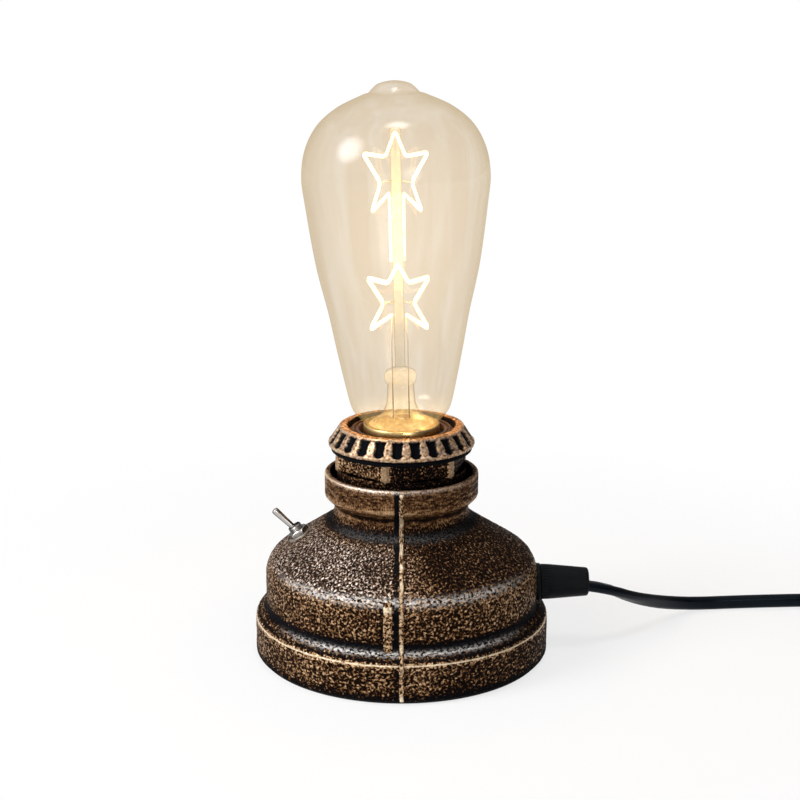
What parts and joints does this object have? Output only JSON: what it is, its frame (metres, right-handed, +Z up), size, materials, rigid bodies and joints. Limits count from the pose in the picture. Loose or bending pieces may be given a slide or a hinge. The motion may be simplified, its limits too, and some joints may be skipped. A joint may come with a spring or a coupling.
{
  "type": "table lamp",
  "caption": "Low table lamp with a rough cast bronze-black base, exposed filament bulb in a notched screw ring, toggle switch and side cord.",
  "frame": {"origin": "middle of the underside of the foot pad", "axes": "+Z up along the bulb's axis, +X towards the cord gland, -X towards the switch"},
  "size_m": [0.2853, 0.1365, 0.1944],
  "materials": {
    "cast_bronze": "rough sand-cast, black-brown with dry-brushed bronze on the high spots",
    "zinc_steel": "zinc plated",
    "foam": "black closed-cell foam",
    "phenolic": "dark brown moulding",
    "brass": "plain brass",
    "cap_brass": "rolled brass cap",
    "clear_glass": "clear blown glass",
    "vitrite": "black glass insulator",
    "solder": "solder",
    "wire": "drawn wire",
    "filament": "glowing filament",
    "chrome": "bright nickel plate",
    "black_plastic": "matte black moulding",
    "black_pvc": "black PVC sheath",
    "tie": "black hook-and-loop strap",
    "lead_brown": "brown insulation",
    "lead_black": "black insulation",
    "lead_white": "white insulation"
  },
  "bodies": {
    "base": {"base_casting": "cast_bronze", "bottom_cover": "zinc_steel", "cover_screws": "zinc_steel", "foot_pad": "foam", "hex_bushing": "cast_bronze", "notched_ring": "cast_bronze", "lampholder_body": "phenolic", "lampholder_shell": "brass", "centre_contact": "brass", "terminal_screws": "brass", "nipple": "brass", "nipple_locknut": "zinc_steel", "switch_bushing": "chrome", "switch_nut": "chrome", "switch_washer": "chrome", "switch_body": "black_plastic", "switch_terminals": "brass", "gland_body": "black_plastic", "gland_cap": "black_plastic", "gland_locknut": "black_plastic", "cord_run": "black_pvc", "cord_coil": "black_pvc", "coil_tie": "tie", "plug_body": "black_plastic", "plug_blades": "brass", "live_lead": "lead_black", "switched_lead": "lead_brown", "neutral_lead": "lead_white"},
    "bulb_foot": {"cap_insulator": "vitrite", "bulb_contact": "solder"},
    "bulb": {"bulb_glass": "clear_glass", "bulb_cap": "cap_brass", "bulb_stem": "clear_glass", "mount_rod": "clear_glass", "lead_wires": "wire", "support_hooks": "wire", "upper_star_filament": "filament", "lower_star_filament": "filament"},
    "lever": {"switch_lever": "chrome"}
  },
  "joints": [
    {"name": "switch_toggle", "type": "hinge", "parent": "base", "child": "lever", "pos_m": [-0.03575, 0, 0.04138], "axis": [0, 1, 0], "range_deg": [0, 26]},
    {"name": "bulb_rise", "type": "slide", "parent": "base", "child": "bulb_foot", "axis": [0, 0, 1], "range_m": [0, 0.01453]},
    {"name": "bulb_turn", "type": "hinge", "parent": "bulb_foot", "child": "bulb", "pos_m": [0, 0, 0.07], "axis": [0, 0, 1], "range_deg": [0, 1440]}
  ],
  "couplings": [
    {"joint": "bulb_rise", "follows": "bulb_turn", "m_per_rad": 0.00057757}
  ]
}
